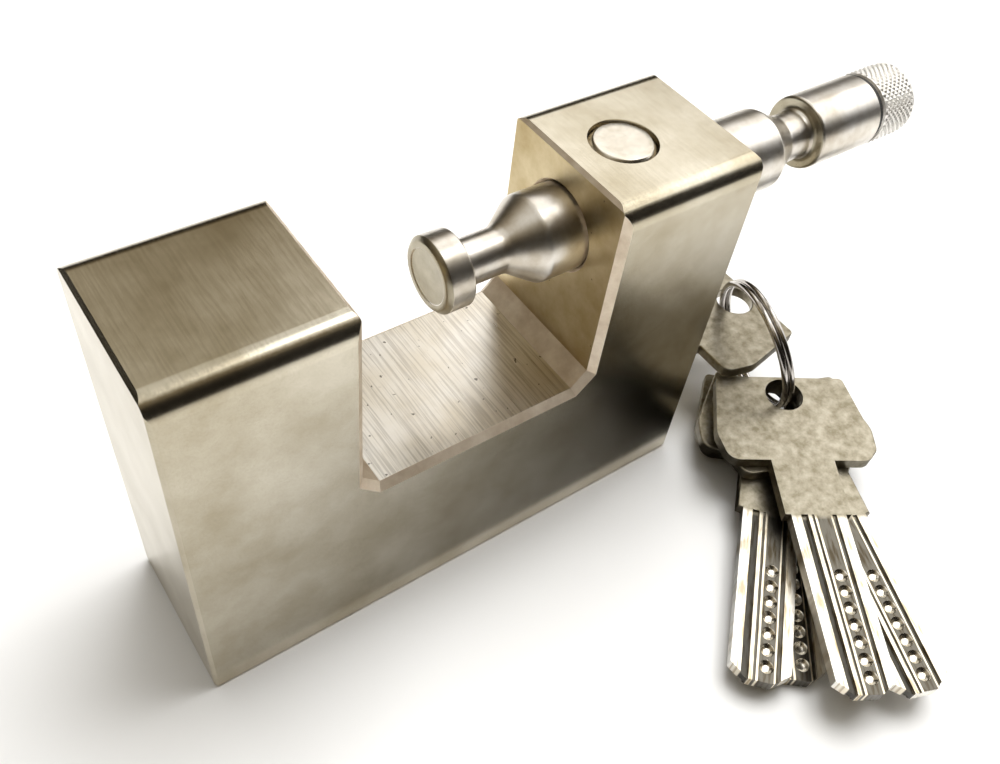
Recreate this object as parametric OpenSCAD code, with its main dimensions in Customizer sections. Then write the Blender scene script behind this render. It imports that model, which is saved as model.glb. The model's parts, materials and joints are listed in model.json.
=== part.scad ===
// Trailer coupler lock: a solid steel block with an upward gap, a bolt that
// slides through its tall arms, and a dimple-key cylinder in the right end.
// Origin at the middle of the block's base, X along the bolt, +Z up.

/* [Block] */
// Length of the block along the bolt
block_l = 82; // [72:0.5:100]
// Depth of the block from front to back
block_d = 24; // [23.6:0.1:30]
// Height of the block
block_h = 59.5; // [58:0.5:72]
// Thickness of the left arm, which takes the bolt's head
left_arm_w = 23.4; // [20:0.1:28.5]
// Thickness of the right arm, which guides the bolt
right_arm_w = 23.1; // [20:0.1:28]
// Height of the gap's floor above the base
gap_floor_z = 28.8; // [25:0.1:34]
// Size of the 45 degree corners of the gap
gap_corner = 2.4; // [1:0.1:5]
// Width of the bevel that runs round the gap on both faces
gap_bevel = 1; // [0.4:0.1:2]
// Radius of the long top edges
edge_r = 3; // [1:0.1:4]
// Size of the small bevels on the block's ends
end_bevel = 0.5; // [0.2:0.1:1]

/* [Bolt] */
// Diameter of the bolt's shank
bolt_d = 12; // [10:0.1:14]
// Height of the bolt's axis above the base
bolt_z = 49; // [46:0.1:51]
// Radial running clearance of the bolt in its bore
bolt_gap = 0.06; // [0.03:0.01:0.1]
// Diameter of the two waists
waist_d = 6.2; // [5:0.1:7.2]
// Diameter of the second waist, which the latch pin enters beside the knob
knob_waist_d = 7.2; // [6:0.1:8]
// Length of the waist behind the head
head_waist_l = 6.55; // [5:0.05:8]
// Length of the waist next to the knob
knob_waist_l = 4.5; // [4.3:0.1:6]
// Length of the cones between the waists and the shank
cone_l = 4.3; // [3:0.1:6]
// How far the bolt's head stands in from the shank, so that it passes the bore
head_step = 0.85; // [0.3:0.05:2]
// Thickness of the bolt's head
head_l = 3.95; // [3:0.05:6]
// Thickness of metal left behind the head's socket in the left arm
socket_wall = 3.8; // [2:0.1:8]
// How far the knob stands in from the shank, so that it passes the bore
knob_step = 0.45; // [0.3:0.05:2]
// Length of the plain part of the knob
knob_l = 13; // [9:0.5:18]
// How far the knurled cap stands in from the shank
cap_step = 0.3; // [0.2:0.05:2]
// Length of the knurled cap
cap_l = 8.6; // [6:0.1:12]
// Thickness of the sealing ring between the knob and its cap
seal_t = 0.8; // [0.5:0.1:1.5]
// How far the bolt is pulled out from its locked place in this pose
bolt_pose = 34.1; // [24:0.1:34.1]

/* [Latch] */
// Diameter of the closing plug on top of the right arm, and of the bore below it
plug_d = 9.4; // [8.5:0.1:10]
// Thickness of the closing plug
plug_t = 3.6; // [2.5:0.1:3.8]
// Distance of the plug's axis from the block's right end
plug_inset = 14.4; // [14:0.1:14.8]
// Diameter of the latch pin's nose
nose_d = 4.2; // [3:0.1:4.3]
// How far the latch pin moves
latch_travel = 1.9; // [1.5:0.1:2]

/* [Cylinder] */
// Height of the lock cylinder's axis above the base
lock_z = 12.2; // [11:0.1:14]
// Diameter of the cylinder's housing
housing_d = 19; // [18.6:0.1:19.2]
// Length of the cylinder's housing
housing_l = 16.3; // [16:0.1:18]
// Diameter of the turning plug that takes the key
rotor_d = 11.2; // [10.8:0.1:11.6]
// Number of locking pins
pin_count = 5; // [3:1:5]
// Spacing of the locking pins
pin_pitch = 3; // [2.6:0.1:3.1]
// Diameter of the locking pins
pin_d = 2; // [1.6:0.1:2.2]

/* [Keys] */
// Thickness of a key
key_t = 2; // [1.8:0.05:2.05]
// Width of a key's blade
blade_w = 8.8; // [8:0.1:8.9]
// Length of a key's blade
blade_l = 28.3; // [26:0.1:29]
// Length of the neck between blade and bow
neck_l = 10; // [8:0.1:12]
// Width of the neck
neck_w = 10.6; // [9.6:0.1:11]
// Width of the bow at its widest
bow_w = 26.2; // [22:0.1:26.4]
// Length of the bow from the neck to its flat end
bow_l = 16.9; // [15:0.1:18]
// Diameter of the hole in the bow
bow_hole_d = 6.4; // [6.3:0.1:7]
// Radius of the split ring at the middle of its wire
ring_r = 11.2; // [10.8:0.1:11.4]
// Diameter of the split ring's wire
ring_wire_d = 1.1; // [0.8:0.1:1.2]

/* [Hidden] */

$fn = 96;
eps = 0.01;
moving_gap = 0.06;

x_left = -block_l / 2;
x_right = block_l / 2;
gap_x0 = x_left + left_arm_w;
gap_x1 = x_right - right_arm_w;
latch_x = x_right - plug_inset;

// Bolt stations along X, from the head's face to the cap's crown
bolt_r = bolt_d / 2;
head_d = bolt_d - 2 * head_step;
knob_d = bolt_d - 2 * knob_step;
cap_d = bolt_d - 2 * cap_step;
bolt_bore_d = bolt_d + 2 * bolt_gap;
knob_face_locked = latch_x + knob_waist_l / 2;
knob_face = knob_face_locked + bolt_pose;
shank_end = knob_face - knob_waist_l - cone_l;
socket_end = x_left + socket_wall;
head_face = socket_end + 0.8 + bolt_pose;
head_back = head_face + head_l;
shank_start = head_back + head_waist_l + cone_l;
cap_face = knob_face + knob_l + seal_t;
cap_stub_d = 6;
cap_stub_l = 5;
head_bevel = 0.6;
plug_bevel = 1;
mouth_bevel = 0.4;

// Cylinder stations along X, from the right end inwards
cyl_gap = 0.1;
cyl_bore_d = housing_d + 2 * cyl_gap;
face_recess = 0.3;
housing_x1 = x_right - face_recess;
housing_x0 = housing_x1 - housing_l;
cam_t = 2.5;
cam_gap = 2;
cam_x1 = housing_x0 - cam_gap;
cam_x0 = cam_x1 - cam_t;
clip_t = 0.8;
clip_x0 = cam_x0 - 0.2 - clip_t;
chamber_end = clip_x0 - 0.5;
tail_d = 10;
tail_x0 = clip_x0 - 0.2;
keyway_w = blade_w + 0.2;
keyway_h = key_t + 0.3;

// Cam groove: its radius falls evenly as the plug turns, which pulls the latch down
groove_r0 = 8.1;
groove_depth = 1.4;
groove_w = 1.8;
key_turn = 90;
stud_d = 1.6;
stud_z = lock_z + groove_r0;

// Latch pin stations along Z
latch_d = plug_d - 2 * moving_gap;
nose_top = bolt_z - bolt_r - 0.1;
nose_l = 3.3;
latch_foot = stud_z + 4;
spring_d = 4.6;
spring_wire = 0.6;
spring_hole_d = 5.4;
spring_seat = lock_z + housing_d / 2 - 0.5;
spring_top = latch_foot + 6.7;
tongue_t = 1.3;
tongue_w = 3.6;
tongue_x0 = cam_x1 + 0.3;

// Pins lie below the key, each in a chamber that runs down from the keyway
pin_x1 = housing_x1 - 2.3;
key_pin_low = rotor_d / 2 - 0.05;
key_pin_high = key_t / 2 + 0.1;
driver_l = 1.7;
cap_disc_t = 0.5;

// Keys are drawn lying in XY with the hole at the origin and the tip towards -X
hole_to_top = 3.7;
bow_to_neck = bow_l - hole_to_top;
shoulder_u = bow_to_neck + neck_l;
tip_u = shoulder_u + blade_l;
tip_bevel = 2;
key_grooves = [[2.3, 1.1, 0.45], [0.95, 0.4, 0.25], [-2.5, 0.7, 0.35]];
dimple_count = 7;
dimple_pitch = 2.6;
dimple_start = 2.4;
dimple_y = -0.75;
key_hole_x = x_right + 0.1 + shoulder_u;

// The split ring threads the bows; its plane is turned and tipped
ring_dx = -3.6;
ring_y = -9.3;
ring_turn = -17;
ring_tip = -13.6;

// Spare keys lie one on another in a sloping pile, a small gap apart.
// Each has the place of its hole, its level in the pile and the heading of its blade
slope_heading = -120;
slope = 2.6;
pile_z = 4.3;
pile_gap = 0.1;
spare_top = [-6.1, -19.4, 3, -121.6];
spare_right = [-5.5, -19.2, 2, -111.5];
spare_left = [-4.5, -18.1, 1, -137.5];
spare_bottom = [-3.5, -15.8, 0, -129.6];

module along_x(x0, d, l, d2 = -1) {
    translate([x0, 0, 0]) rotate([0, 90, 0]) cylinder(d1 = d, d2 = d2 < 0 ? d : d2, h = l);
}

// ---- Block ----

// Side outline of the block's bar, with its rounded long top edges
module block_section() {
    flat = block_d / 2 - edge_r;
    translate([-block_d / 2, end_bevel]) square([block_d, block_h - edge_r - end_bevel]);
    translate([-flat, 0]) square([2 * flat, block_h]);
    for (s = [-1, 1]) translate([s * flat, block_h - edge_r]) circle(r = edge_r);
    polygon([[-block_d / 2 + end_bevel, 0], [block_d / 2 - end_bevel, 0],
             [block_d / 2, end_bevel], [-block_d / 2, end_bevel]]);
}

// Outline of the gap, grown sideways and downwards by g
module gap_outline(g = 0) {
    x0 = gap_x0 - g;
    x1 = gap_x1 + g;
    z0 = gap_floor_z - g;
    c = gap_corner + g * 0.586;
    polygon([[x0, block_h + 5], [x0, z0 + c], [x0 + c, z0],
             [x1 - c, z0], [x1, z0 + c], [x1, block_h + 5]]);
}

// Bevel round the gap: on each face the outline widens over the bevel's depth
module gap_bevels() {
    for (side = [-1, 1])
        hull() {
            translate([0, side * (block_d / 2 - gap_bevel), 0]) rotate([90, 0, 0])
                linear_extrude(eps, center = true) gap_outline();
            translate([0, side * (block_d / 2 + eps), 0]) rotate([90, 0, 0])
                linear_extrude(eps, center = true) gap_outline(gap_bevel);
        }
}

// Bevels along the upright ends and the ends of the top
module end_bevels() {
    b = end_bevel * sqrt(2);
    for (x = [x_left, x_right]) {
        for (y = [-block_d / 2, block_d / 2])
            translate([x, y, block_h / 2]) rotate([0, 0, 45]) cube([b, b, block_h * 2], center = true);
        for (z = [0, block_h])
            translate([x, 0, z]) rotate([0, 45, 0]) cube([b, block_d * 2, b], center = true);
    }
    for (x = [gap_x0, gap_x1])
        translate([x, 0, block_h]) rotate([0, 45, 0]) cube([b, block_d * 2, b], center = true);
}

module lock_body() {
    color([0.74, 0.70, 0.62])
    difference() {
        translate([x_left, 0, 0]) rotate([90, 0, 90]) linear_extrude(block_l) block_section();
        rotate([90, 0, 0]) linear_extrude(block_d + 2, center = true) gap_outline();
        gap_bevels();
        end_bevels();
        // Bolt bore through the right arm and blind socket in the left arm
        translate([0, 0, bolt_z]) {
            along_x(gap_x1 - 1, bolt_bore_d, right_arm_w + 2);
            along_x(socket_end, bolt_bore_d, gap_x0 - socket_end + 1);
            along_x(gap_x1 - eps, bolt_bore_d + 2 * mouth_bevel, mouth_bevel, bolt_bore_d);
            along_x(x_right - mouth_bevel, bolt_bore_d, mouth_bevel + eps, bolt_bore_d + 2 * mouth_bevel);
            along_x(gap_x0 - mouth_bevel, bolt_bore_d, mouth_bevel + eps, bolt_bore_d + 2 * mouth_bevel);
        }
        // Upright bore for the latch, closed by the top plug
        translate([latch_x, 0, lock_z]) cylinder(d = plug_d, h = block_h);
        // Cylinder bore in the right end, and room for the tip of the key
        translate([0, 0, lock_z]) {
            along_x(chamber_end, cyl_bore_d, x_right - chamber_end + 1);
            along_x(key_hole_x - tip_u - 0.7, tail_d, chamber_end - key_hole_x + tip_u + 1);
        }
        // Tapped hole for the cylinder's set screw, in the back
        translate([housing_x1 - 6, block_d / 2 + 1, lock_z]) rotate([90, 0, 0])
            cylinder(d = 4, h = block_d / 2 + 1 - housing_d / 2 + 1.2);
    }
}

module top_plug() {
    color([0.78, 0.75, 0.70])
    translate([latch_x, 0, block_h - plug_t]) {
        cylinder(d = plug_d, h = plug_t - plug_bevel);
        translate([0, 0, plug_t - plug_bevel])
            cylinder(d1 = plug_d, d2 = plug_d - 2 * plug_bevel, h = plug_bevel);
    }
}

// ---- Bolt ----

module pull_bolt() {
    color([0.72, 0.70, 0.68])
    translate([0, 0, bolt_z]) rotate([0, 90, 0]) rotate_extrude() polygon([
        [0, head_face], [head_d / 2 - head_bevel, head_face],
        [head_d / 2, head_face + head_bevel], [head_d / 2, head_back - 0.3],
        [head_d / 2 - 0.3, head_back], [waist_d / 2, head_back],
        [waist_d / 2, head_back + head_waist_l], [bolt_r, shank_start],
        [bolt_r, shank_end], [knob_waist_d / 2, shank_end + cone_l],
        [knob_waist_d / 2, knob_face], [knob_d / 2 - 0.4, knob_face],
        [knob_d / 2, knob_face + 0.4], [knob_d / 2, knob_face + knob_l],
        [cap_stub_d / 2, knob_face + knob_l],
        [cap_stub_d / 2, cap_face + cap_stub_l], [0, cap_face + cap_stub_l]]);
}

module cap_seal_ring() {
    color([0.08, 0.08, 0.08])
    translate([0, 0, bolt_z]) difference() {
        along_x(knob_face + knob_l, knob_d - 0.5, seal_t);
        along_x(knob_face + knob_l - 1, cap_stub_d, seal_t + 2);
    }
}

// Cap with a domed crown, screwed on the bolt's stub
module knurled_cap() {
    crown = 1.6;
    color([0.72, 0.70, 0.66])
    translate([0, 0, bolt_z]) rotate([0, 90, 0]) difference() {
        rotate_extrude() {
            translate([0, cap_face]) square([cap_d / 2 - crown, cap_l]);
            translate([0, cap_face + 0.3]) square([cap_d / 2, cap_l - crown - 0.3]);
            polygon([[0, cap_face], [cap_d / 2 - 0.3, cap_face],
                     [cap_d / 2, cap_face + 0.3], [0, cap_face + 0.3]]);
            translate([cap_d / 2 - crown, cap_face + cap_l - crown]) circle(r = crown);
        }
        translate([0, 0, cap_face - 1]) cylinder(d = cap_stub_d, h = cap_stub_l + 1);
    }
}

// ---- Latch ----

module latch_pin() {
    color([0.60, 0.60, 0.62])
    translate([latch_x, 0, 0]) difference() {
        union() {
            translate([0, 0, latch_foot]) cylinder(d = latch_d, h = nose_top - nose_l - latch_foot);
            translate([0, 0, nose_top - nose_l - eps]) cylinder(d = nose_d, h = nose_l - 0.4 + eps);
            translate([0, 0, nose_top - 0.4]) cylinder(d1 = nose_d, d2 = nose_d - 0.8, h = 0.4);
            translate([tongue_x0 - latch_x, -tongue_w / 2, stud_z - 1])
                cube([tongue_t, tongue_w, latch_foot - stud_z + 1 + 0.5]);
        }
        translate([0, 0, latch_foot - 1]) cylinder(d = spring_hole_d, h = spring_top - latch_foot + 1);
        translate([tongue_x0 - latch_x - 1, 0, stud_z]) rotate([0, 90, 0])
            cylinder(d = stud_d, h = tongue_t + 2);
    }
}

module follower_stud() {
    color([0.55, 0.55, 0.57])
    translate([0, 0, stud_z])
        along_x(cam_x1 - groove_depth + 0.2, stud_d, tongue_x0 + tongue_t - cam_x1 + groove_depth - 0.2);
}

// Spring turns as a helix swept by a small ring of points
function helix_ring(t, turns, r, w, h, sides) =
    [for (k = [0 : sides - 1])
        let (a = 360 * k / sides, p = 360 * turns * t, rr = r + w * cos(a))
        [rr * cos(p), rr * sin(p), w + (h - 2 * w) * t + w * sin(a)]];

module helix(turns, r, w, h, steps = 12, sides = 6) {
    n = turns * steps;
    rings = [for (i = [0 : n]) helix_ring(i / n, turns, r, w, h, sides)];
    points = [for (ring = rings) for (p = ring) p];
    walls = [for (i = [0 : n - 1]) for (k = [0 : sides - 1])
        let (k2 = (k + 1) % sides) each
        [[i * sides + k, (i + 1) * sides + k2, (i + 1) * sides + k],
         [i * sides + k, i * sides + k2, (i + 1) * sides + k2]]];
    first = [for (k = [sides - 1 : -1 : 0]) k];
    last = [for (k = [0 : sides - 1]) n * sides + k];
    polyhedron(points, concat(walls, [first, last]), convexity = 8);
}

module latch_spring() {
    color([0.66, 0.66, 0.68])
    translate([latch_x, 0, spring_seat + 0.05])
        helix(6, (spring_d - spring_wire) / 2, spring_wire / 2, spring_top - spring_seat - 0.1);
}

// ---- Lock cylinder ----

module keyway(x0, x1) {
    translate([x0, -keyway_w / 2, -keyway_h / 2]) cube([x1 - x0, keyway_w, keyway_h]);
}

module at_pins() {
    for (i = [0 : pin_count - 1]) translate([pin_x1 - i * pin_pitch, 0, 0]) children();
}

module cylinder_housing() {
    color([0.78, 0.66, 0.36])
    translate([0, 0, lock_z]) difference() {
        along_x(housing_x0, housing_d, housing_l);
        along_x(housing_x0 - 1, rotor_d + 2 * moving_gap, housing_l + 2);
        at_pins() translate([0, 0, -housing_d / 2 - 1]) cylinder(d = pin_d + 0.1, h = housing_d / 2);
        // Seat for the latch spring, and dimple for the set screw
        translate([latch_x, 0, spring_seat - lock_z]) cylinder(d = spring_hole_d, h = 3);
        translate([housing_x1 - 6, housing_d / 2 - 1.1, 0]) rotate([-90, 0, 0]) cylinder(d = 4, h = 3);
    }
}

module cylinder_rotor() {
    color([0.84, 0.73, 0.42])
    translate([0, 0, lock_z]) difference() {
        union() {
            along_x(housing_x0 - 0.2, rotor_d, housing_l + 0.3);
            along_x(tail_x0, tail_d, housing_x0 - tail_x0);
        }
        keyway(tail_x0 - 1, x_right + 1);
        at_pins() translate([0, 0, -rotor_d / 2 - 1]) cylinder(d = pin_d + 0.1, h = rotor_d / 2 + 1);
    }
}

module key_pins() {
    color([0.80, 0.68, 0.35])
    translate([0, 0, lock_z]) at_pins() {
        translate([0, 0, -key_pin_low]) cylinder(d = pin_d, h = key_pin_low - key_pin_high - 0.5 + eps);
        translate([0, 0, -key_pin_high - 0.5]) cylinder(d1 = pin_d, d2 = pin_d / 2, h = 0.5);
    }
}

module driver_pins() {
    color([0.62, 0.62, 0.64])
    translate([0, 0, lock_z]) at_pins()
        translate([0, 0, -rotor_d / 2 - 0.1 - driver_l]) cylinder(d = pin_d, h = driver_l);
}

module pin_springs() {
    room = housing_d / 2 - cap_disc_t - rotor_d / 2 - 0.1 - driver_l;
    color([0.70, 0.70, 0.72])
    translate([0, 0, lock_z]) at_pins()
        translate([0, 0, -housing_d / 2 + cap_disc_t]) helix(3, pin_d / 2 - 0.3, 0.15, room, 10, 5);
}

module chamber_caps() {
    color([0.78, 0.66, 0.36])
    translate([0, 0, lock_z]) at_pins()
        translate([0, 0, -housing_d / 2]) cylinder(d = pin_d + 0.1, h = cap_disc_t);
}

// Outline of the groove in the cam, worked out from the fall in radius per degree
function groove_point(a, side) =
    let (r = groove_r0 - latch_travel * (90 - a) / key_turn + side * groove_w / 2)
    [r * cos(a), r * sin(a)];

module cam_disc() {
    span = [for (a = [-8 : 7 : 97]) a];
    count = len(span);
    outline = [for (a = span) groove_point(a, 1), for (i = [count - 1 : -1 : 0]) groove_point(span[i], -1)];
    color([0.64, 0.64, 0.62])
    translate([0, 0, lock_z]) difference() {
        along_x(cam_x0, housing_d - 0.2, cam_t);
        along_x(cam_x0 - 1, tail_d, cam_t + 2);
        translate([cam_x1 - groove_depth, 0, 0]) rotate([90, 0, 90])
            linear_extrude(groove_depth + 1) polygon(outline);
    }
}

module cam_clip() {
    color([0.30, 0.30, 0.32])
    translate([0, 0, lock_z]) difference() {
        along_x(clip_x0, tail_d + 3, clip_t);
        along_x(clip_x0 - 1, tail_d, clip_t + 2);
        translate([clip_x0 - 1, -1.2, -tail_d]) cube([clip_t + 2, 2.4, tail_d - 2]);
    }
}

module cylinder_set_screw() {
    inner = housing_d / 2 - 1.1;
    length = block_d / 2 - 0.4 - inner;
    color([0.22, 0.22, 0.23])
    translate([housing_x1 - 6, inner, lock_z]) rotate([-90, 0, 0]) difference() {
        cylinder(d = 4, h = length);
        translate([0, 0, length - 1.5]) cylinder(d = 2.3, h = 2, $fn = 6);
    }
}

// ---- Keys ----

// Half of the bow and neck is mirrored, so both sides follow the same sizes
module bow_outline() {
    half = bow_w / 2;
    corner = 2.2;
    hull() {
        for (s = [-1, 1]) {
            translate([hole_to_top - 0.8, s * (half - 2.7)]) circle(r = 0.8, $fn = 32);
            translate([-bow_to_neck + 5.3, s * (half - 4)]) circle(r = 4, $fn = 32);
            translate([-bow_to_neck + corner, s * (half - corner - 0.7)]) circle(r = corner, $fn = 32);
        }
    }
}

module key_outline() {
    bow_outline();
    translate([-shoulder_u, -neck_w / 2]) square([neck_l + 1, neck_w]);
    polygon([[-shoulder_u + eps, -blade_w / 2], [-shoulder_u + eps, blade_w / 2],
             [-tip_u + tip_bevel, blade_w / 2], [-tip_u, blade_w / 2 - tip_bevel - 0.6],
             [-tip_u, -blade_w / 2 + tip_bevel + 0.6], [-tip_u + tip_bevel, -blade_w / 2]]);
}

module key_blank() {
    color([0.70, 0.68, 0.64])
    difference() {
        linear_extrude(key_t, center = true) key_outline();
        cylinder(d = bow_hole_d, h = key_t + 2, center = true);
        for (side = [-1, 1]) {
            // Long grooves on each face, given by place, width and depth
            for (g = key_grooves)
                translate([-tip_u - 1, side * g[0] - g[1] / 2, side * key_t / 2 - g[2]])
                    cube([blade_l + 1, g[1], 2 * g[2]]);
            // A row of dimples between the grooves
            for (i = [0 : dimple_count - 1])
                translate([-tip_u + dimple_start + i * dimple_pitch, side * dimple_y, side * key_t / 2])
                    rotate([side > 0 ? 0 : 180, 0, 0])
                        translate([0, 0, -0.5]) cylinder(d1 = 1, d2 = 2.2, h = 0.55);
        }
    }
}

module key_in_lock() {
    translate([key_hole_x, 0, lock_z]) key_blank();
}

// A spare key lies on the sloping pile: first turned to its heading, then tipped
module spare_key(place) {
    along = place[0] * cos(slope_heading) + place[1] * sin(slope_heading);
    lift = place[2] * (key_t + pile_gap) / cos(slope) - along * tan(slope);
    translate([key_hole_x + place[0], place[1], pile_z + lift])
        rotate([0, 0, slope_heading]) rotate([0, slope, 0])
            rotate([0, 0, place[3] - slope_heading + 180]) key_blank();
}

module spare_key_top() { spare_key(spare_top); }
module spare_key_right() { spare_key(spare_right); }
module spare_key_left() { spare_key(spare_left); }
module spare_key_bottom() { spare_key(spare_bottom); }

// Two close turns of wire
module split_ring() {
    color([0.62, 0.62, 0.62])
    translate([key_hole_x + ring_dx, ring_y, lock_z])
        rotate([0, 0, ring_turn]) rotate([0, ring_tip, 0]) rotate([0, 90, 0])
            translate([0, 0, -1.5 * ring_wire_d])
                helix(2, ring_r, ring_wire_d / 2, 3 * ring_wire_d, 48, 10);
}

lock_body();
top_plug();
pull_bolt();
cap_seal_ring();
knurled_cap();
latch_pin();
follower_stud();
latch_spring();
cylinder_housing();
cylinder_rotor();
key_pins();
driver_pins();
pin_springs();
chamber_caps();
cam_disc();
cam_clip();
cylinder_set_screw();
key_in_lock();
split_ring();
spare_key_top();
spare_key_right();
spare_key_left();
spare_key_bottom();
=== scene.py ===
# %% [markdown]
# # A trailer coupler lock, finished over its CAD frame
# The lock is a plated steel block with an upward gap, a turned bolt that slides
# across the gap, a key in the right end and a split ring with four spare keys.
# The CAD model is loaded first and never changed. Each finished piece rides on
# the CAD body it belongs to, so it moves when that body moves. All sizes are in
# metres, unless a name says mm.

# %% Load the CAD frame
import json
import math
import bmesh
import bpy
from mathutils import Matrix, Vector

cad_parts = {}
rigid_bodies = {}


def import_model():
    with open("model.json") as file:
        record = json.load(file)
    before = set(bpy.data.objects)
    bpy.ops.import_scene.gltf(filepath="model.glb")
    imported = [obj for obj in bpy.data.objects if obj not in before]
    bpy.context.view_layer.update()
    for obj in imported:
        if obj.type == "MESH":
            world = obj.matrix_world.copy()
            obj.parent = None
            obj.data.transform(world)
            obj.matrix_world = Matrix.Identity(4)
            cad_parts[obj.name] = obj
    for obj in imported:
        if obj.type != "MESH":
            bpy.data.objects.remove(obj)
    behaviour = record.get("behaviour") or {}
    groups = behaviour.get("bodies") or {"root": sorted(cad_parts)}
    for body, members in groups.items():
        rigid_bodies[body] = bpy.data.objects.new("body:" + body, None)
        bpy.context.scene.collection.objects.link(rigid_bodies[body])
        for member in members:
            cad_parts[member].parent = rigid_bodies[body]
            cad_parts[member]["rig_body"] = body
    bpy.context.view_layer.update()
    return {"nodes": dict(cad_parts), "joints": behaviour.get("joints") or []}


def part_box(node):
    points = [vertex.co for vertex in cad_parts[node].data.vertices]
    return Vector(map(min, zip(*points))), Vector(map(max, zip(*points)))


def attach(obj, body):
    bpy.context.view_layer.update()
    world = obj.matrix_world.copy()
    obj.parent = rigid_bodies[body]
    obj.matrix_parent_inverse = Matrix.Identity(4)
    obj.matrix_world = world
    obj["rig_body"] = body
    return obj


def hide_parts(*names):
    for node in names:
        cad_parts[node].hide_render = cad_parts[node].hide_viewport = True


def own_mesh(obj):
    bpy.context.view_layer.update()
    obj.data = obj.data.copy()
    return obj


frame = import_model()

scene = bpy.context.scene

# %% [markdown]
# ## Camera
# The lock is seen from above its front left corner. A camera looks along its own
# -Z axis, so its rotation is built from three directions: right, up and back.

# %% Camera
eye = Vector((-0.0533, -0.0740, 0.1330))
right = Vector((0.8157, -0.5699, 0.0997)).normalized()
back = -Vector((0.438, 0.496, -0.750)).normalized()
up = back.cross(right).normalized()
facing = Matrix((right, up, back)).transposed().to_4x4()
camera = bpy.data.objects.new("camera", bpy.data.cameras.new("camera"))
scene.collection.objects.link(camera)
camera.matrix_world = Matrix.Translation(eye) @ facing
camera.data.lens = 35.97
camera.data.sensor_width = 36
camera.data.clip_start = 0.005
scene.camera = camera
print("camera at", [round(v, 3) for v in eye])

# %% [markdown]
# ## The room
# Polished metal shows what stands round it, so the room matters as much as the
# lamps. The world is dark near the horizon, a warm grey half way up and paler
# overhead. The side in front of the lock is darker still: where a direction
# points to the front, its Y lowers the height that the colour ramp reads. The
# ramp gets a small helper, because the metals need ramps too.

# %% World
front_shade = 0.6
sky_strength = 1.25
sky_stops = [(0.0, (0.012, 0.010, 0.008)), (0.28, (0.02, 0.016, 0.01)), (0.46, (0.10, 0.08, 0.05)),
             (0.62, (0.26, 0.215, 0.145)), (0.71, (0.36, 0.31, 0.22)), (0.80, (0.80, 0.79, 0.76))]


def colour_ramp(tree, factor, stops):
    """Turns a factor into a colour by (position, colour) stops, in rising order."""
    node = tree.nodes.new("ShaderNodeValToRGB")
    bar = node.color_ramp.elements
    for end, (position, colour) in ((0, stops[0]), (1, stops[-1])):
        bar[end].position = position
        bar[end].color = (*colour, 1)
    for position, colour in stops[1:-1]:
        bar.new(position).color = (*colour, 1)
    tree.links.new(factor, node.inputs["Fac"])
    return node.outputs["Color"]


world = bpy.data.worlds.new("studio")
scene.world = world
world.use_nodes = True
sky = world.node_tree
sky.nodes.clear()
direction = sky.nodes.new("ShaderNodeTexCoord")
parts = sky.nodes.new("ShaderNodeSeparateXYZ")
toward_front = sky.nodes.new("ShaderNodeMath")
toward_front.operation = "MINIMUM"
toward_front.inputs[1].default_value = 0
height = sky.nodes.new("ShaderNodeMath")
height.operation = "MULTIPLY_ADD"
height.inputs[1].default_value = front_shade
glow = sky.nodes.new("ShaderNodeBackground")
glow.inputs["Strength"].default_value = sky_strength
sky_out = sky.nodes.new("ShaderNodeOutputWorld")
sky.links.new(direction.outputs["Generated"], parts.inputs[0])
sky.links.new(parts.outputs["Y"], toward_front.inputs[0])
sky.links.new(toward_front.outputs[0], height.inputs[0])
sky.links.new(parts.outputs["Z"], height.inputs[2])
sky.links.new(colour_ramp(sky, height.outputs[0], sky_stops), glow.inputs["Color"])
sky.links.new(glow.outputs[0], sky_out.inputs[0])
scene.view_settings.view_transform = "Standard"
scene.view_settings.look = "None"
print("world stops:", len(sky_stops))

# %% [markdown]
# ## Lamps
# One lamp gives the floor its light and the soft shadow, and hides from
# reflections. Three pale panels are there mainly to be reflected: one behind the
# right end, one off the right end and one overhead.


# %% Lamps
def panel(name, direction, distance, size, watts, colour=(1, 1, 1), seen=True, aim=(0.01, 0, 0.03)):
    """An area lamp that faces a point on the lock."""
    data = bpy.data.lights.new(name, "AREA")
    data.shape = "SQUARE"
    data.size = size
    data.energy = watts
    data.color = colour
    lamp = bpy.data.objects.new(name, data)
    scene.collection.objects.link(lamp)
    way = Vector(direction).normalized()
    turned_to = way.to_track_quat("Z", "Y").to_matrix().to_4x4()
    lamp.matrix_world = Matrix.Translation(Vector(aim) + way * distance) @ turned_to
    lamp.visible_glossy = seen
    return lamp


panel("floor_lamp", (0.30, 0.20, 0.93), distance=1.3, size=0.95, watts=17.0, seen=False)
panel("panel_right", (0.56, 0.50, 0.66), distance=0.8, size=0.36, watts=0.62, colour=(0.97, 0.98, 1.0))
panel("panel_end", (0.82, -0.08, 0.54), distance=0.8, size=0.60, watts=2.1)
panel("panel_top", (0.36, -0.06, 0.93), distance=0.7, size=0.26, watts=0.60)

# %% [markdown]
# ## Floor
# A plain pale sheet under the lock, made from one bmesh grid. It is stage, not
# part of the object. Two helpers start here: one turns a bmesh into an object,
# and one makes a material from the shader's own sockets alone.

# %% Floor
floor_half = 5.0


def as_object(mesh, name, smooth=False):
    """Makes a bmesh an object of the scene, with its place in its mesh, and frees the bmesh."""
    data = bpy.data.meshes.new(name)
    mesh.to_mesh(data)
    mesh.free()
    if smooth:
        data.polygons.foreach_set("use_smooth", [True] * len(data.polygons))
    made = bpy.data.objects.new(name, data)
    scene.collection.objects.link(made)
    return made


def plain(name, values):
    """A material with one value for each named socket."""
    made = bpy.data.materials.new(name)
    made.use_nodes = True
    for socket, value in values.items():
        made.node_tree.nodes["Principled BSDF"].inputs[socket].default_value = value
    return made


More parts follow.
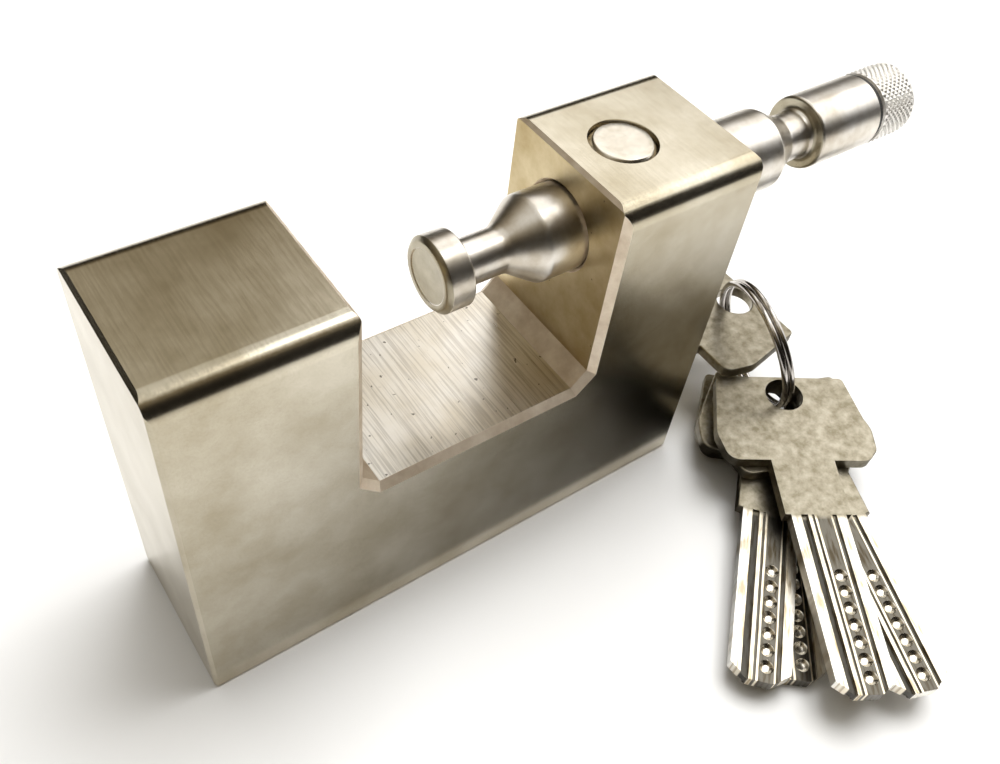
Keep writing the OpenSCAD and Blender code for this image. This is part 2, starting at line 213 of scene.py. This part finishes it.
floor_mesh = bmesh.new()
bmesh.ops.create_grid(floor_mesh, x_segments=8, y_segments=8, size=floor_half)
floor = as_object(floor_mesh, "floor")
floor.data.materials.append(plain("paper", {
    "Base Color": (0.86, 0.86, 0.855, 1), "Roughness": 0.9, "Specular IOR Level": 0.1}))
print("floor faces:", len(floor.data.polygons))

# %% [markdown]
# ## A dark card
# A black card beside a shiny thing darkens one side of it. This card lies in
# front of the block's right half. Only reflections see it, so it paints a dark
# reflection into the block's front face. It fades in from left to right, and out
# again away from the block.

# %% The dark card
card_middle = Vector((0.035, -0.1035, 0.0004))
card_half = 0.09
card_clear_x, card_black_x = -0.055, 0.040
card_clear_y, card_black_y = -0.060, -0.026
card_mesh = bmesh.new()
bmesh.ops.create_grid(card_mesh, x_segments=4, y_segments=4, size=card_half,
                      matrix=Matrix.Translation(card_middle))
card = as_object(card_mesh, "dark_card")
card.visible_camera = card.visible_diffuse = card.visible_shadow = card.visible_transmission = False
# Painted reflection: the card only darkens what the block's front face reflects.
painted_dark_reflection = plain("painted_dark_reflection", {"Base Color": (0.01, 0.008, 0.006, 1)})
card_tree = painted_dark_reflection.node_tree
place = card_tree.nodes.new("ShaderNodeTexCoord")
split = card_tree.nodes.new("ShaderNodeSeparateXYZ")
card_tree.links.new(place.outputs["Object"], split.inputs[0])
both = card_tree.nodes.new("ShaderNodeMath")
both.operation = "MULTIPLY"
fades = (("X", card_clear_x, card_black_x), ("Y", card_clear_y, card_black_y))
for socket, (axis, clear, black_at) in enumerate(fades):
    fade = card_tree.nodes.new("ShaderNodeMapRange")
    fade.inputs["From Min"].default_value = clear
    fade.inputs["From Max"].default_value = black_at
    card_tree.links.new(split.outputs[axis], fade.inputs["Value"])
    card_tree.links.new(fade.outputs["Result"], both.inputs[socket])
card_tree.links.new(both.outputs["Value"], card_tree.nodes["Principled BSDF"].inputs["Alpha"])
card.data.materials.append(painted_dark_reflection)
print("card fades over", card_clear_x, "to", card_black_x)

# %% [markdown]
# ## White surroundings
# The dark world suits the reflections but not the background, so a white sphere
# stands round the room. Only the camera sees it.

# %% White surroundings
tent_radius = 6
tent_mesh = bmesh.new()
bmesh.ops.create_uvsphere(tent_mesh, u_segments=48, v_segments=24, radius=tent_radius)
tent = as_object(tent_mesh, "white_tent")
tent.visible_glossy = tent.visible_diffuse = tent.visible_shadow = tent.visible_transmission = False
tent.data.materials.append(plain("white_glow", {
    "Base Color": (0, 0, 0, 1), "Emission Color": (0.97, 0.97, 0.96, 1), "Emission Strength": 1.0}))
print("tent faces:", len(tent.data.polygons))

# %% [markdown]
# ## Metal finishes
# Every metal here is one recipe with other numbers: a colour that drifts in soft
# clouds between two tones, a roughness that varies a little, and a fine bump. A
# Mapping node stretches the fine grain along one axis, as a tool or a brush
# leaves it. The patterns read Object coordinates, which are metres on the lock.
# The block's plating is the first finish made with it.

# %% A recipe for metal
cloud_low, cloud_high = 0.32, 0.68
grain_stops = [(0.38, (0.18, 0.15, 0.12)), (0.55, (1, 1, 1))]
speck_scale, speck_edge, speck_colour, speck_share = 900, 0.03, (0.05, 0.04, 0.03), 0.8


def noise(tree, vector, scale, detail, roughness=0.5):
    """Noise from 0 to 1 at a place."""
    node = tree.nodes.new("ShaderNodeTexNoise")
    node.inputs["Scale"].default_value = scale
    node.inputs["Detail"].default_value = detail
    node.inputs["Roughness"].default_value = roughness
    tree.links.new(vector, node.inputs["Vector"])
    return node.outputs["Fac"]


def stretched(tree, vector, scale):
    """The same place with each axis stretched or squeezed."""
    node = tree.nodes.new("ShaderNodeMapping")
    node.inputs["Scale"].default_value = scale
    tree.links.new(vector, node.inputs["Vector"])
    return node.outputs["Vector"]


def multiplied(tree, share, colour, by):
    """One colour multiplied by another, for a share of the way."""
    node = tree.nodes.new("ShaderNodeMixRGB")
    node.blend_type = "MULTIPLY"
    node.inputs["Fac"].default_value = share
    tree.links.new(colour, node.inputs["Color1"])
    tree.links.new(by, node.inputs["Color2"])
    return node.outputs["Color"]


def metal(name, light, dark, roughness, cloud=120, grain=(4000, 4000, 4000), bump=0.05,
          spread=0.06, specks=0.0, metallic=1.0, grain_tint=0.0, step=0.00002):
    """A used metal: tones in clouds, a grain in gloss and relief, and specks above a level."""
    made = plain(name, {"Metallic": metallic})
    tree = made.node_tree
    shader = tree.nodes["Principled BSDF"]
    place = tree.nodes.new("ShaderNodeTexCoord").outputs["Object"]
    clouds = noise(tree, place, cloud, detail=5, roughness=0.6)
    colour = colour_ramp(tree, clouds, [(cloud_low, dark), (cloud_high, light)])
    fine = noise(tree, stretched(tree, place, grain), scale=1, detail=4)
    if grain_tint:
        colour = multiplied(tree, grain_tint, colour, colour_ramp(tree, fine, grain_stops))
    if specks:
        spots = noise(tree, place, speck_scale, detail=2)
        few = colour_ramp(tree, spots, [(specks, (1, 1, 1)), (specks + speck_edge, speck_colour)])
        colour = multiplied(tree, speck_share, colour, few)
    tree.links.new(colour, shader.inputs["Base Color"])
    gloss = tree.nodes.new("ShaderNodeMapRange")
    gloss.inputs["To Min"].default_value = roughness - spread
    gloss.inputs["To Max"].default_value = roughness + spread
    tree.links.new(fine, gloss.inputs["Value"])
    tree.links.new(gloss.outputs["Result"], shader.inputs["Roughness"])
    relief = tree.nodes.new("ShaderNodeBump")
    relief.inputs["Strength"].default_value = bump
    relief.inputs["Distance"].default_value = step
    tree.links.new(fine, relief.inputs["Height"])
    tree.links.new(relief.outputs["Normal"], shader.inputs["Normal"])
    return made


plate = metal("satin_nickel", (0.66, 0.61, 0.50), (0.43, 0.375, 0.265), roughness=0.22, cloud=70,
              grain=(3400, 180, 3400), bump=0.25, grain_tint=0.08)
print("first finish:", plate.name, "with", len(plate.node_tree.nodes), "nodes")

# %% [markdown]
# ## Finishes of the block
# The gap's floor keeps the lines of the milling cutter, its walls are rougher and
# browner, and its bevels are bright fresh cuts. A bore's inside gets painted shade:
# a dark colour where shade falls in it.

# %% Finishes of the block
milled = metal("milled_gap_floor", (0.80, 0.77, 0.72), (0.66, 0.60, 0.50), roughness=0.30, cloud=90,
               grain=(3200, 90, 3200), bump=0.55, grain_tint=0.35, specks=0.70)
wall = metal("gap_wall", (0.62, 0.52, 0.33), (0.42, 0.32, 0.16), roughness=0.36, cloud=160,
             grain=(1500, 1500, 1500), bump=0.5, specks=0.74)
cut = metal("bright_bevel", (0.92, 0.82, 0.68), (0.70, 0.58, 0.44), roughness=0.58, cloud=300,
            grain=(900, 900, 900), bump=0.2)
# Painted shade: the inside of a bore is coloured dark for the shade that falls in it.
bore_shade = metal("bore_painted_shade", (0.30, 0.26, 0.21), (0.16, 0.13, 0.10), roughness=0.35, cloud=300,
              grain=(2500, 2500, 2500))
print("block finishes:", [m.name for m in (plate, milled, wall, cut, bore_shade)])

# %% [markdown]
# ## Soft edges on the machined pieces
# A milled edge is never perfectly sharp: it catches a thin line of light. The CAD
# mesh is loose triangles, so a copy of it is merged and its flat regions are
# dissolved to single faces. Then a Bevel modifier rounds every real edge by a
# fraction of a millimetre, and weighted normals keep the large faces flat.

# %% A rounded copy of a CAD node
same_point, same_plane = 1e-6, math.radians(0.4)


def into_slots(piece, *finishes):
    """Gives a piece its finishes in order. It is called before faces are sorted."""
    piece.data.materials.clear()
    for finish in finishes:
        piece.data.materials.append(finish)


def soften(piece, width, segments=2, limit=20):
    """Rounds every edge sharper than the limit, in degrees."""
    soft = piece.modifiers.new("soft_edges", "BEVEL")
    soft.width = width
    soft.segments = segments
    soft.limit_method = "ANGLE"
    soft.angle_limit = math.radians(limit)
    flat = piece.modifiers.new("flat_faces", "WEIGHTED_NORMAL")
    flat.mode = "FACE_AREA"
    flat.weight = 100
    flat.keep_sharp = True


def rounded(node, name, width, finish=None, segments=2, limit=28):
    """A merged copy of a CAD node with soft edges, in its place and on its body."""
    mesh = bmesh.new()
    mesh.from_mesh(frame["nodes"][node].data)
    bmesh.ops.remove_doubles(mesh, verts=mesh.verts, dist=same_point)
    bmesh.ops.dissolve_limit(mesh, angle_limit=same_plane, verts=mesh.verts, edges=mesh.edges)
    piece = as_object(mesh, name, smooth=True)
    soften(piece, width, segments, limit)
    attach(piece, frame["nodes"][node]["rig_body"])
    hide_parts(node)
    if finish:
        into_slots(piece, finish)
    print(name, "faces:", len(piece.data.polygons))
    return piece


# %% [markdown]
# ## The block
# The block is one piece with several finishes: plate outside, a milled floor in
# the gap, rougher walls beside it, bright bevels round it and bores painted dark
# as shade. The face's direction and place decide which one it gets: a bevel leans,
# a wall faces along X, and a bore's small faces lie close round the bolt's axis.

# %% The block and its finishes
block = rounded("lock_body", "block", width=0.00018)
into_slots(block, plate, milled, wall, cut, bore_shade)
on_floor, on_wall, on_bevel, in_bore = 1, 2, 3, 4
low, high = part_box("lock_body")
bolt_low, bolt_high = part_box("pull_bolt")
bolt_z = (bolt_low.z + bolt_high.z) / 2
bolt_r = (bolt_high.z - bolt_low.z) / 2
square_on, end_zone, wide_face, small_face = 0.99, 0.01, 2e-4, 4e-5
level_off, wall_border, top_border = 2e-4, 2e-3, 0.004
gap_floor_z = max(p.center.z for p in block.data.polygons
                  if p.normal.z > square_on and p.area > wide_face
                  and low.z + end_zone < p.center.z < high.z - end_zone)
for face in block.data.polygons:
    n, c = face.normal, face.center
    inside = low.x + end_zone < c.x < high.x - end_zone
    from_bolt = math.hypot(c.y, c.z - bolt_z)
    if n.z > square_on and abs(c.z - gap_floor_z) < level_off:
        face.material_index = on_floor
    elif abs(n.x) > square_on and inside and c.z > gap_floor_z and abs(c.y) < high.y - wall_border:
        face.material_index = on_wall
    elif 0.5 < abs(n.x) < 0.9 and abs(n.y) < 0.1 and n.z > 0.3 and inside:
        face.material_index = on_bevel
    elif 0.3 < abs(n.y) < 0.9 and inside and c.z < high.z - top_border:
        face.material_index = on_bevel
    # Small faces round the bolt's axis, inside the bore, take the painted shade.
    elif face.area < small_face and from_bolt < bolt_r * 1.1 and abs(n.x) < 0.9:
        face.material_index = in_bore
print("gap floor at", round(gap_floor_z * 1000, 2), "mm")

# %% [markdown]
# ## The closing plug
# A flat disc with a bevelled rim closes the latch bore on top. Spinning half its
# section round the bore's axis makes it, and it sits a hair inside the bore, so
# a dark line shows all round it. The spinning helper serves the bolt too.

# %% The closing plug
plug_gap, rim_drop, rim_in, rim_flat = 0.00006, 0.0009, 0.0007, 0.0016
weld = 1e-7


def lathe(name, section, origin, axis, steps=128):
    """Spins (radius, station) pairs in metres, which go from the axis out and back to it."""
    along = Vector(axis).normalized()
    side = along.orthogonal().normalized()
    mesh = bmesh.new()
    points = [mesh.verts.new(Vector(origin) + side * r + along * s) for r, s in section]
    edges = [mesh.edges.new(pair) for pair in zip(points, points[1:])]
    bmesh.ops.spin(mesh, geom=points + edges, cent=origin, axis=along, angle=2 * math.pi,
                   steps=steps, use_merge=True, use_duplicate=False)
    bmesh.ops.remove_doubles(mesh, verts=mesh.verts, dist=weld)
    bmesh.ops.recalc_face_normals(mesh, faces=mesh.faces)
    piece = as_object(mesh, name, smooth=True)
    print(name, "faces:", len(piece.data.polygons))
    return piece


plug_low, plug_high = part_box("top_plug")
plug_r = (plug_high.x - plug_low.x) / 2 - plug_gap
plug_at = ((plug_low.x + plug_high.x) / 2, 0, plug_low.z)
plug_t = plug_high.z - plug_low.z
plug = lathe("closing_plug", [
    (0, 0), (plug_r, 0), (plug_r, plug_t - rim_drop), (plug_r - rim_in, plug_t),
    (plug_r - rim_flat, plug_t), (0, plug_t)], plug_at, (0, 0, 1))
soften(plug, width=0.0001)
plug_face = metal("plug_face", (0.74, 0.70, 0.62), (0.58, 0.52, 0.42), roughness=0.25, cloud=260,
                  grain=(1800, 1800, 1800), bump=0.15)
into_slots(plug, plug_face)
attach(plug, "block")
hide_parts("top_plug")

# %% [markdown]
# ## The section of the bolt
# The bolt is turned from one bar: head, narrow waist, cone, shank, cone, second
# waist and knob. Its corners are rounded by the tool's nose, so the section is
# written as corners with a fillet each. A helper puts an arc in every corner.

# %% The section of the bolt
mm = 0.001
head_back, waist_end, shank_start, shank_end = 1.65, 8.2, 12.5, 54.2
waist2_start, knob_start, knob_end = 58.5, 63.0, 76.0
waist_r, waist2_r = 0.0031, 0.0036
head_r, knob_r = bolt_r - 0.00085, bolt_r - 0.00045
neck_r, neck_length = 3 * mm, 5.7 * mm
face_dish, face_rim, head_round = 0.12 * mm, 1.4 * mm, 0.6 * mm


def station(place_mm):
    """A place along X in mm, as metres from the head's face."""
    return place_mm / 1000 - bolt_low.x


def filleted(corners, steps=6):
    """Rounds each (radius, station, fillet) corner of a section with an arc of that size."""
    made = []
    for i, (r, s, fillet) in enumerate(corners):
        here = Vector((r, s))
        if not fillet:
            made.append((r, s))
            continue
        to_last = (Vector(corners[i - 1][:2]) - here).normalized()
        to_next = (Vector(corners[i + 1][:2]) - here).normalized()
        half = to_last.angle(to_next) / 2
        reach = fillet / math.tan(half)
        centre = here + (to_last + to_next).normalized() * (fillet / math.sin(half))
        a = here + to_last * reach - centre
        b = here + to_next * reach - centre
        for k in range(steps + 1):
            way = a.lerp(b, k / steps).normalized() * fillet
            made.append(tuple(centre + way))
    return made


bolt_section = filleted([
    (0, face_dish, 0),
    (head_r - face_rim - 0.1 * mm, face_dish, 0),
    (head_r - face_rim, 0, 0),
    (head_r - head_round, 0, 0),
    (head_r, head_round, 0),
    (head_r, station(head_back), 0.3 * mm),
    (waist_r, station(head_back), 0.7 * mm),
    (waist_r, station(waist_end), 2.2 * mm),
    (bolt_r, station(shank_start), 1.2 * mm),
    (bolt_r, station(shank_end), 0.8 * mm),
    (waist2_r, station(waist2_start), 1.6 * mm),
    (waist2_r, station(knob_start), 0.9 * mm),
    (knob_r, station(knob_start), 0.5 * mm),
    (knob_r, station(knob_end), 0.25 * mm),
    (neck_r, station(knob_end), 0),
    (neck_r, station(knob_end) + neck_length, 0),
    (0, station(knob_end) + neck_length, 0)])
print("points in the bolt's section:", len(bolt_section))

# %% [markdown]
# ## The bolt
# The section is spun round the bolt's axis. The tool leaves fine rings, so the
# grain is squeezed along X only. The faces that look to the left, out of the
# head, take their own grain and a darker colour: painted shade for the dim
# reflection they show.

# %% The bolt
turned = metal("turned_steel", (0.86, 0.83, 0.78), (0.56, 0.50, 0.41), roughness=0.31, cloud=170,
               grain=(9000, 500, 500), bump=0.30, spread=0.05)
# Painted shade: the head's end face is coloured darker than the rest of the bolt.
turned_end_painted_shade = metal("turned_end_painted_shade", (0.50, 0.46, 0.36), (0.34, 0.30, 0.22), roughness=0.30, cloud=260,
                   grain=(500, 3000, 3000), bump=0.3)
bolt = lathe("draw_bolt", bolt_section, (bolt_low.x, 0, bolt_z), (1, 0, 0))
soften(bolt, width=0.00014)
into_slots(bolt, turned, turned_end_painted_shade)
# Faces that look along -X take the darker, painted-shade colour.
for face in bolt.data.polygons:
    face.material_index = 1 if face.normal.x < -0.7 else 0
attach(bolt, "bolt")
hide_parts("pull_bolt")

# %% [markdown]
# ## The knurl of the cap
# A diamond knurl is rolled into the cap. A tube of square faces is poked flat, so
# each square holds four triangles, and the square edges are then dissolved. What
# is left is a net of diamonds. Poking those outwards raises one small pyramid on
# each, which is how a real knurl looks.

# %% The knurl
cap_low, cap_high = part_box("knurled_cap")
cap_r = (cap_high.z - cap_low.z) / 2
rows, columns, raise_by, tip_gap = 7, 34, 0.00022, 0.00001
back_edge, front_edge = 0.0004, 0.0014
start, stop = cap_low.x + back_edge, cap_high.x - front_edge


def at_radius(x, place, radius):
    """The point at x, straight out from the bolt's axis toward a place."""
    out = Vector((0, place.y, place.z - bolt_z)).normalized()
    return Vector((x, 0, bolt_z)) + out * radius


def extruded(mesh, edges):
    """Extrudes a loop of edges and returns the new loop's edges and corners."""
    grown = bmesh.ops.extrude_edge_only(mesh, edges=edges)["geom"]
    corners = [g for g in grown if isinstance(g, bmesh.types.BMVert)]
    loop = [g for g in grown if isinstance(g, bmesh.types.BMEdge) and all(v in corners for v in g.verts)]
    return loop, corners


cap_mesh = bmesh.new()
rim = bmesh.ops.create_circle(cap_mesh, segments=columns, radius=cap_r - raise_by, cap_ends=False)["verts"]
across_x = Matrix.Translation((start, 0, bolt_z)) @ Matrix.Rotation(math.pi / 2, 4, "Y")
bmesh.ops.transform(cap_mesh, matrix=across_x, verts=rim)
ring_edges = list(cap_mesh.edges)
for _ in range(rows):
    ring_edges, moved = extruded(cap_mesh, ring_edges)
    bmesh.ops.translate(cap_mesh, vec=((stop - start) / rows, 0, 0), verts=moved)
squares = [e for e in cap_mesh.edges if len(e.link_faces) == 2]
for v in bmesh.ops.poke(cap_mesh, faces=list(cap_mesh.faces))["verts"]:
    v.co = at_radius(v.co.x, v.co, cap_r - raise_by)
bmesh.ops.dissolve_edges(cap_mesh, edges=squares, use_verts=False)
diamonds = [f for f in cap_mesh.faces if len(f.verts) == 4]
tips = bmesh.ops.poke(cap_mesh, faces=diamonds)["verts"]
for v in tips:
    v.co = at_radius(v.co.x, v.co, cap_r - tip_gap)
print("knurl diamonds:", len(tips))

# %% [markdown]
# ## The ends of the cap
# The knurl runs out into a smooth rounded edge at both ends. Each open loop is
# extruded inward in small steps and then filled. A step says how far it goes in
# and what share of the way to the end it has gone.

# %% The ends of the cap
back_steps = [(0.0002, 0.25), (0.0006, 1.0)]
front_steps = [(0.00045, 0.35), (0.0011, 0.75), (0.0021, 1.0)]
for open_at, closed_at, steps in ((start, cap_low.x, back_steps), (stop, cap_high.x, front_steps)):
    edge_loop = [e for e in cap_mesh.edges if len(e.link_faces) == 1
                 and all(abs(v.co.x - open_at) < same_point for v in e.verts)]
    for shrink, share in steps:
        edge_loop, moved = extruded(cap_mesh, edge_loop)
        for v in moved:
            v.co = at_radius(open_at + (closed_at - open_at) * share, v.co, cap_r - raise_by - shrink)
    bmesh.ops.holes_fill(cap_mesh, edges=edge_loop)
bmesh.ops.recalc_face_normals(cap_mesh, faces=cap_mesh.faces)
cap = as_object(cap_mesh, "knurled_grip")
soften(cap, width=0.00004, segments=1, limit=40)
knurl = metal("knurled_steel", (0.97, 0.95, 0.92), (0.86, 0.83, 0.77), roughness=0.45, cloud=400,
              grain=(3000, 3000, 3000), bump=0.1)
into_slots(cap, knurl)
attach(cap, "bolt")
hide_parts("knurled_cap")
print("cap faces:", len(cap.data.polygons))

# %% [markdown]
# ## The split ring
# Two close turns of wire. A circle the size of the wire is spun twice round the
# ring's axis while it moves along that axis by its own thickness each turn. The
# axis and the middle come from the ring's own joint in the record.

# %% The split ring
joints = {j["name"]: j for j in frame["joints"]}
ring_axis = Vector(joints["ring_spin"]["axis"]).normalized()
ring_at = Vector(joints["ring_spin"]["pos_m"])
wire_r, ring_r, pitch, turns, per_turn = 0.00054, 0.0112, 0.0011, 2, 96
ring_points = [v.co for v in frame["nodes"]["split_ring"].data.vertices]
first = min(ring_points, key=lambda p: (p - ring_at).dot(ring_axis))
side = first - ring_at
side = (side - ring_axis * side.dot(ring_axis)).normalized()
ring_mesh = bmesh.new()
begin = ring_at + side * ring_r - ring_axis * pitch
circle = bmesh.ops.create_circle(ring_mesh, segments=20, radius=wire_r, cap_ends=True)["verts"]
stand = Matrix((side, ring_axis, side.cross(ring_axis))).transposed().to_4x4()
bmesh.ops.transform(ring_mesh, matrix=Matrix.Translation(begin) @ stand, verts=circle)
bmesh.ops.spin(ring_mesh, geom=list(ring_mesh.verts) + list(ring_mesh.edges) + list(ring_mesh.faces),
               cent=ring_at, axis=ring_axis, dvec=ring_axis * (pitch / per_turn),
               angle=2 * math.pi * turns, steps=per_turn * turns, use_duplicate=False)
bmesh.ops.remove_doubles(ring_mesh, verts=ring_mesh.verts, dist=weld)
bmesh.ops.recalc_face_normals(ring_mesh, faces=ring_mesh.faces)
ring = as_object(ring_mesh, "key_ring", smooth=True)
soften(ring, width=0.0001, segments=2, limit=60)
spring_wire = metal("bright_wire", (0.66, 0.63, 0.60), (0.42, 0.39, 0.36), roughness=0.17, cloud=500,
                    grain=(2000, 2000, 2000), bump=0.05)
into_slots(ring, spring_wire)
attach(ring, "ring")
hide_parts("split_ring")
print("ring faces:", len(ring.data.polygons))

# %% [markdown]
# ## The finish of the keys
# A key is stamped from nickel-plated strip, and cutters leave deep grooves and a
# row of dimples in the blade. The shade in the grooves is painted into the colour.
# Each key gets a map of its own: U runs from shoulder to tip, V across the blade.
# The finish reads that map, so its painted dark lines lie in the grooves and turn
# with the key. On the bow the plain nickel shows, and the two meet softly at the
# shoulder.

# %% The finish of the keys
shoulder_from, shoulder_to, line_edge, line_share = -0.02, 0.01, 0.006, 0.98
# The streaks' stretch, and the warm tint of the painted groove shade.
streak_scale, groove_shade_tint = (7, 16, 1), (1, 0.93, 0.8)
worn_stops = [(0.36, (0.50, 0.43, 0.32)), (0.52, (0.93, 0.91, 0.86))]
# Painted shade: a dark (from, to, tone) line across the blade where each groove lies.
painted_groove_shade = ((0.176, 0.256, 0.10), (0.285, 0.545, 0.13), (0.585, 0.631, 0.12), (0.70, 0.824, 0.05))
dimple = metal("cut_dimple", (0.97, 0.95, 0.90), (0.80, 0.74, 0.62), roughness=0.22, cloud=900,
               grain=(1500, 1500, 1500), bump=0.2)


def groove_shade_stops():
    """White across the blade, with a stretch of painted groove shade for each (from, to, tone) line."""
    stops = [(0.0, (1, 1, 1))]
    for low_v, high_v, tone in painted_groove_shade:
        for at, value in ((low_v - line_edge, 1), (low_v + line_edge, tone),
                          (high_v - line_edge, tone), (high_v + line_edge, 1)):
            stops.append((at, tuple(value * part for part in groove_shade_tint)))
    return stops + [(1.0, (1, 1, 1))]


def key_metal():
    """Nickel on the bow, and a streaked blade with painted groove shade, following the key's own map."""
    made = metal("key_nickel", (0.40, 0.365, 0.29), (0.20, 0.175, 0.12), roughness=0.32, cloud=620,
                 grain=(2600, 2600, 2600), bump=0.5, step=0.00005)
    tree = made.node_tree
    shader = tree.nodes["Principled BSDF"]
    bow_colour = shader.inputs["Base Color"].links[0].from_socket
    place = tree.nodes.new("ShaderNodeUVMap")
    place.uv_map = "key_map"
    split = tree.nodes.new("ShaderNodeSeparateXYZ")
    tree.links.new(place.outputs["UV"], split.inputs[0])
    streaks = noise(tree, stretched(tree, place.outputs["UV"], streak_scale), scale=1, detail=5)
    shine = colour_ramp(tree, streaks, worn_stops)
    # Painted shade: dark lines across the blade where its grooves lie.
    groove_shade_colour = colour_ramp(tree, split.outputs["Y"], groove_shade_stops())
    blade_colour = multiplied(tree, line_share, shine, groove_shade_colour)
    where = tree.nodes.new("ShaderNodeMapRange")
    where.inputs["From Min"].default_value = shoulder_from
    where.inputs["From Max"].default_value = shoulder_to
    tree.links.new(split.outputs["X"], where.inputs["Value"])
    whole = tree.nodes.new("ShaderNodeMixRGB")
    tree.links.new(where.outputs["Result"], whole.inputs["Fac"])
    tree.links.new(bow_colour, whole.inputs["Color1"])
    tree.links.new(blade_colour, whole.inputs["Color2"])
    tree.links.new(whole.outputs["Color"], shader.inputs["Base Color"])
    return made


key_finish = key_metal()
print("key finish nodes:", len(key_finish.node_tree.nodes))

# %% [markdown]
# ## The keys
# The press leaves a rounded rim round the bow, so those edges get a bevel. The
# key's own directions are found from its hole and its tip, because the loose
# keys lie turned. They give each corner its place on the map, and they show
# which faces belong to the dimples.

# %% The keys
neck_u, blade_len, blade_half, thick_half = 0.0238, 0.0283, 0.0044, 0.001
dimple_row, dimple_reach, first_dimple, last_dimple = -0.00075, 0.00112, 0.006, 0.0006
rim_round, rim_short, on_face, below_face, tip_zone = 0.00042, 0.0003, 3e-5, 2e-5, 0.0005


def in_plane(direction, normal):
    """The part of a direction that lies in the key's plane."""
    return (direction - normal * direction.dot(normal)).normalized()


def rim_edges(mesh, hole, toward, normal):
    """The edges round both flat faces of the bow."""
    def outer(v):
        place = v.co - hole
        high_enough = abs(abs(place.dot(normal)) - thick_half) < on_face
        return high_enough and place.dot(toward) < neck_u - rim_short
    return [e for e in mesh.edges if len(e.link_faces) == 2
            and sum(abs(f.normal.dot(normal)) > square_on for f in e.link_faces) == 1
            and all(outer(v) for v in e.verts)]


def finished_key(node, name, hole, normal):
    """A key with a rounded rim, its own map and bright dimples."""
    piece = rounded(node, name, width=0.00007, segments=1, limit=40)
    into_slots(piece, key_finish, dimple)
    points = [v.co - hole for v in piece.data.vertices]
    toward = in_plane(sum(points, Vector()) / len(points), normal)
    reach = max(p.dot(toward) for p in points)
    tip = [p for p in points if p.dot(toward) > reach - tip_zone]
    toward = in_plane(sum(tip, Vector()) / len(tip), normal)
    across = toward.cross(normal)
    mesh = bmesh.new()
    mesh.from_mesh(piece.data)
    rim = rim_edges(mesh, hole, toward, normal)
    bmesh.ops.bevel(mesh, geom=rim, offset=rim_round, offset_type="OFFSET", segments=3, profile=0.5,
                    affect="EDGES", clamp_overlap=True, material=-1)
    uv = mesh.loops.layers.uv.new("key_map")
    for face in mesh.faces:
        face.smooth = True
        face.normal_update()
        side = -1 if face.normal.dot(normal) < -0.5 else 1
        for corner in face.loops:
            p = corner.vert.co - hole
            corner[uv].uv = ((p.dot(toward) - neck_u) / blade_len,
                             (side * p.dot(across) + blade_half) / (2 * blade_half))
        middle = face.calc_center_median() - hole
        row = (1 if middle.dot(normal) > 0 else -1) * middle.dot(across) - dimple_row
        along = middle.dot(toward) - neck_u
        cut_in = abs(middle.dot(normal)) < thick_half - below_face
        if cut_in and abs(row) < dimple_reach and first_dimple < along < blade_len - last_dimple:
            face.material_index = 1
    mesh.to_mesh(piece.data)
    mesh.free()
    print(name, "rim edges:", len(rim))


key_low, key_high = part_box("key_in_lock")
hole_from_end = 0.0037
ring_hole = Vector((key_high.x - hole_from_end, 0, (key_low.z + key_high.z) / 2))
finished_key("key_in_lock", "house_key", ring_hole, Vector((0, 0, 1)))
for spare in ("top", "right", "left", "bottom"):
    swing = joints["spare_" + spare + "_swing"]
    finished_key("spare_key_" + spare, "loose_key_" + spare, Vector(swing["pos_m"]),
                 Vector(swing["axis"]).normalized())

# %% [markdown]
# ## The lock cylinder, the latch and the seal
# These pieces are inside the lock. Only the cylinder's face shows, at the right
# end, and the thin seal between the knob and the cap. Their CAD shapes are
# right, so they stay and get real finishes. The latch's coil spring stands on
# the cylinder.

# %% Inner pieces
brass = metal("machined_brass", (0.83, 0.66, 0.34), (0.62, 0.46, 0.20), roughness=0.26, cloud=200,
              grain=(6000, 900, 900), bump=0.2)
steel = metal("ground_steel", (0.62, 0.61, 0.60), (0.44, 0.42, 0.40), roughness=0.28, cloud=200,
              grain=(900, 900, 6000), bump=0.2)
black = metal("black_oxide", (0.05, 0.05, 0.055), (0.02, 0.02, 0.022), roughness=0.45, cloud=300,
              grain=(2000, 2000, 2000), bump=0.2)
rubber = metal("seal_rubber", (0.035, 0.033, 0.03), (0.015, 0.014, 0.013), roughness=0.6, cloud=600,
               metallic=0.0, bump=0.2)
for node in ("cylinder_housing", "cylinder_rotor"):
    rounded(node, node + "_turned", width=0.00012, finish=brass)
rounded("cylinder_set_screw", "set_screw", width=0.0001, finish=black)
coil = rounded("latch_spring", "latch_coil", width=0.00006, finish=steel, limit=30)
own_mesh(coil)
inner_finishes = {
    "key_pins": brass, "chamber_caps": brass, "latch_pin": steel, "follower_stud": steel,
    "driver_pins": steel, "pin_springs": steel, "cam_disc": steel,
    "cam_clip": black, "cap_seal_ring": rubber}
for node, finish in inner_finishes.items():
    into_slots(frame["nodes"][node], finish)

# %% End
print("done")
